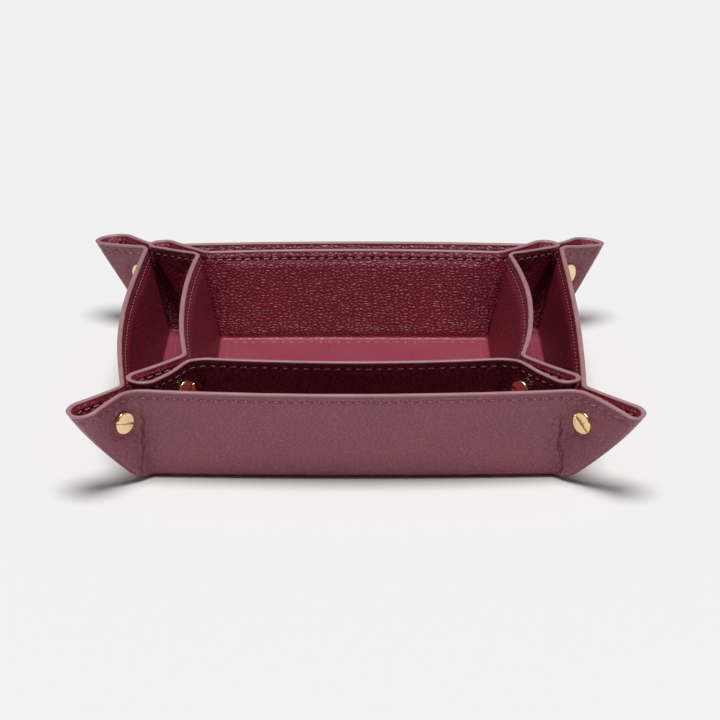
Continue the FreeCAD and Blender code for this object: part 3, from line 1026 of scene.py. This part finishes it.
def crease_marks(tree, flat, fold):
    """1 along the thin wandering kink beside each ear and in the wrinkles off it, else 0; it sinks
    the relief there and darkens the colour as painted shade.
    """
    jitter = add_node(tree, "TexNoise", {"Vector": flat, "Scale": 0.4, "Detail": 4.0})
    away = add_node(tree, "Math", {0: jitter, 1: 5.0, 2: fold["X"]}, operation="MULTIPLY_ADD")
    away = add_node(tree, "Math", {0: away, 1: 2.5}, operation="SUBTRACT")
    away = add_node(tree, "Math", {0: away}, operation="ABSOLUTE")
    line = add_node(
        tree, "MapRange",
        {"Value": away, "From Min": 0.05, "From Max": 0.36, "To Min": 1.0, "To Max": 0.0})
    across = add_node(tree, "CombineXYZ", {"X": fold["X"], "Y": fold["Y"]})
    across = add_node(tree, "VectorMath", {0: across, 1: (0.22, 0.75, 0.0)}, operation="MULTIPLY")
    waves = add_node(
        tree, "TexNoise", {"Vector": across, "Scale": 1.0, "Detail": 2.0, "Distortion": 0.6})
    wrinkle = add_node(tree, "MapRange", {"Value": waves, "From Min": 0.52, "From Max": 0.62})
    near = add_node(
        tree, "MapRange",
        {"Value": away, "From Min": 0.5, "From Max": 7.0, "To Min": 0.32, "To Max": 0.0})
    wrinkle = add_node(tree, "Math", {0: wrinkle, 1: near}, operation="MULTIPLY")
    both = add_node(tree, "Math", {0: line, 1: wrinkle}, operation="MAXIMUM")
    return add_node(tree, "Math", {0: both, 1: fold["Z"]}, operation="MULTIPLY")


def pebbled_calfskin(name, colours, cell, drawn_out, ripple, depth, roughness, coat):
    """Calfskin, drum dyed, milled so that it draws up into small pebbles drawn out along one
    way of the hide, and lacquered, with a wet-looking glint on each crest from its lower roughness.
    Its colour has painted shade in the pebbles' valleys and a paler painted sheen on their crests,
    and where the grain is weak, as on a floor pressed flat, it is painted paler still for the sheen
    of the light on it. The rim seam's needle holes pull it into small dimples and puckers, with
    painted shade in the dimples, and beside the ears it is kinked into a fine crease with wrinkles
    running off it, darkened by painted shade.

    cell is a pebble's size and depth the height of its crest, both in mm on the flat sheet."""
    material, tree = new_material(name)
    flat, seam, fold = (
        add_node(tree, "Attribute", {}, attribute_name=field).outputs["Vector"]
        for field in ("flat", "seam", "fold"))
    seam, fold = (
        add_node(tree, "SeparateXYZ", {"Vector": vector}).outputs
        for vector in (seam, fold))
    pebbles = pebbles_of(tree, flat, cell, drawn_out, ripple)
    middling = 0.7 + ripple / 2
    grain = add_node(tree, "Math", {0: pebbles, 1: middling}, operation="SUBTRACT")
    grain = add_node(tree, "Math", {0: grain, 1: seam["Z"]}, operation="MULTIPLY")
    dimple, pucker = needle_marks(tree, seam)
    crease = crease_marks(tree, flat, fold)
    pulled = add_node(tree, "Math", {0: dimple, 1: -HOLE_DEPTH, 2: grain}, operation="MULTIPLY_ADD")
    kinked = add_node(
        tree, "Math", {0: crease, 1: -CREASE_DEPTH, 2: pulled}, operation="MULTIPLY_ADD")
    relief = add_node(
        tree, "Math", {0: pucker, 1: -PUCKER_DEPTH, 2: kinked}, operation="MULTIPLY_ADD")

    # Colour: random mottling, plus painted shade in the pebbles' valleys, needle holes and creases;
    # where the grain is weak the tone is painted paler, as painted sheen
    cloud = add_node(tree, "TexNoise", {"Vector": flat, "Scale": 0.045, "Detail": 4.0})
    mottle_and_painted_shade = add_node(tree, "Math", {0: cloud, 1: 0.6, 2: kinked}, operation="MULTIPLY_ADD")
    mottle_and_painted_light = add_node(tree, "Math", {0: seam["Z"], 1: -0.9, 2: mottle_and_painted_shade}, operation="MULTIPLY_ADD")
    tone = add_node(tree, "MapRange", {"Value": mottle_and_painted_light, "From Min": -1.8, "From Max": 0.6})
    shine = add_node(
        tree, "MapRange",
        {"Value": pebbles, "From Min": 0.0, "From Max": 1.6, "To Min": roughness + 0.14,
         "To Max": roughness - 0.04})
    patterned_surface(
        tree, tone, tuple(zip(COLOUR_PLACES, colours)), relief, depth, 1.0,
        {"IOR": 1.46, "Roughness": shine,
         "Coat Weight": coat, "Coat Roughness": 0.3, "Coat IOR": 1.5})
    return material


def edge_paint():
    """Acrylic edge paint, brushed on in coats and left to level: smooth, a little uneven in tone."""
    # Uneven over about 10 mm
    material, tree = new_material("acrylic_edge_paint")
    place = add_node(tree, "TexCoord", {}).outputs["Object"]
    cloud = add_node(tree, "TexNoise", {"Vector": place, "Scale": 90.0, "Detail": 4.0})
    patterned_surface(
        tree, cloud, ((0.3, "#A6777C"), (0.7, "#B2848A")), cloud, 0.08, 1.0,
        {"IOR": 1.49, "Roughness": 0.42})
    return material


def bonded_thread():
    """Bonded polyester thread, twisted: fine slanting plies with a soft sheen."""
    # Plies about 0.9 mm apart
    material, tree = new_material("bonded_polyester_thread")
    place = add_node(tree, "TexCoord", {}).outputs["Object"]
    plies = add_node(
        tree, "TexWave",
        {"Vector": place, "Scale": 0.35 / MM, "Distortion": 1.5, "Detail": 1.0},
        bands_direction="DIAGONAL").outputs["Fac"]
    patterned_surface(
        tree, plies, ((0.2, "#7C3645"), (0.8, "#B07681")), plies, 0.05, 0.7,
        {"IOR": 1.55, "Roughness": 0.4})
    return material


def turned_brass():
    """Pale brass, turned on a lathe and polished: fine rings about the axis."""
    # Rings about 0.35 mm apart: a lathe's own, near 0.1 mm, are too fine to show
    material, tree = new_material("turned_brass")
    place = add_node(tree, "TexCoord", {}).outputs["Object"]
    rings = add_node(
        tree, "TexWave", {"Vector": place, "Scale": 0.9 / MM, "Distortion": 0.4},
        wave_type="RINGS", rings_direction="Z").outputs["Fac"]
    cloud = add_node(tree, "TexNoise", {"Vector": place, "Scale": 400.0, "Detail": 3.0})
    shine = add_node(tree, "MapRange", {"Value": cloud, "To Min": 0.17, "To Max": 0.26})
    patterned_surface(
        tree, cloud, ((0.3, "#F0D09A"), (0.7, "#F8E0B2")), rings, 0.004, 0.6,
        {"Metallic": 1.0, "Roughness": shine})
    return material


def fibre_board():
    """Grey-brown fibre board, rolled: matt, with short fibres."""
    # Fibres a little under 1 mm long
    material, tree = new_material("rolled_fibre_board")
    place = add_node(tree, "TexCoord", {}).outputs["Object"]
    fibres = add_node(tree, "TexNoise", {"Vector": place, "Scale": 1200.0, "Detail": 4.0})
    patterned_surface(
        tree, fibres, ((0.3, "#8C7A62"), (0.7, "#A8957A")), fibres, 0.05, 0.6,
        {"IOR": 1.5, "Roughness": 0.9})
    return material


def studio_floor():
    """A studio's pale floor, painted matt."""
    material, tree = new_material("studio_floor")
    surface(tree, {"Base Color": colour("#F2F2F2"), "Roughness": 0.9})
    return material


# ---------------------------------------------------------------- camera and light

CAMERA_TILT = math.radians(19.95)
CAMERA_AWAY = 1500.9
CAMERA_AIM = Vector((2.55, 0.0, 19.5))
FOCAL_PIXELS = 3679.0
IMAGE_PIXELS = 720.0
SENSOR = 36.0
FLOOR_HALF = 4000.0
WORLD_STRENGTH = 0.10
OVERHEAD_STRENGTH = 2.92
OVERHEAD_SPREAD = 30.0
OVERHEAD_TILT = 12.5         # from straight overhead to the front


def add_camera():
    """The camera, in front of the tray and a little over it, level from side to side."""
    data = bpy.data.cameras.new("camera")
    data.sensor_width = SENSOR
    data.lens = FOCAL_PIXELS / IMAGE_PIXELS * SENSOR
    data.clip_start, data.clip_end = 0.05, 20.0
    camera = add_object("camera", data)
    back = Vector((0.0, -math.cos(CAMERA_TILT), math.sin(CAMERA_TILT)))
    camera.location = (CAMERA_AIM + back * CAMERA_AWAY) * MM
    camera.rotation_euler = (math.pi / 2 - CAMERA_TILT, 0.0, 0.0)
    bpy.context.scene.camera = camera


def add_floor():
    """The pale floor that the tray stands on."""
    half = FLOOR_HALF
    corners = [(-half, -half, 0), (half, -half, 0), (half, half, 0), (-half, half, 0)]
    floor = add_object("floor", new_mesh("floor", corners, [(0, 1, 2, 3)]))
    floor.data.materials.append(studio_floor())


def add_light():
    """One wide overhead light, a little in front of the tray, in a dim white studio."""
    scene = bpy.context.scene
    scene.view_settings.view_transform = "Standard"
    world = bpy.data.worlds.new("studio")
    world.use_nodes = True
    background = world.node_tree.nodes["Background"]
    background.inputs["Color"].default_value = (1.0, 1.0, 1.0, 1.0)
    background.inputs["Strength"].default_value = WORLD_STRENGTH
    scene.world = world
    data = bpy.data.lights.new("overhead", "SUN")
    data.energy, data.angle = OVERHEAD_STRENGTH, math.radians(OVERHEAD_SPREAD)
    light = add_object("overhead", data)
    light.rotation_euler = (math.radians(OVERHEAD_TILT), 0.0, 0.0)


# ---------------------------------------------------------------- assembly

def main():
    add_camera()
    add_floor()
    add_light()
    # The outer tray's outside: the same leather, painted paler for the sheen of the floor reflected
    # in it
    outside_painted_sheen = pebbled_calfskin(
        "pebbled_calfskin_outside", OUTSIDE_COLOURS, cell=0.9, drawn_out=0.45, ripple=1.4,
        depth=0.085, roughness=0.46, coat=0.25)
    inside = pebbled_calfskin(
        "pebbled_calfskin_lining", LINING_COLOURS, cell=1.3, drawn_out=0.7, ripple=0.6,
        depth=0.2, roughness=0.36, coat=0.0)
    nested = pebbled_calfskin(
        "pebbled_calfskin_nested", LINING_COLOURS, cell=1.1, drawn_out=0.6, ripple=0.8,
        depth=0.16, roughness=0.42, coat=0.0)
    paint, thread, brass, board = edge_paint(), bonded_thread(), turned_brass(), fibre_board()
    random = np.random.default_rng(11)
    screw, post = polished(screw_mesh(), brass), polished(post_mesh(), brass)
    for tray, outside in ((OUTER, outside_painted_sheen), (INNER, nested)):
        skins = make_skins(tray)
        make_leathers(tray, skins, outside, inside)
        make_edge_paint(tray, skins, paint)
        make_rim_stitches(tray, skins, thread, random)
        make_base_stitches(tray, thread, random)
        make_wall_boards(tray, board)
        place_fixings(tray, screw, post)
        base_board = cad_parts[tray.name + "_base_board"].data
        base_board.materials.clear()
        base_board.materials.append(board)


main()
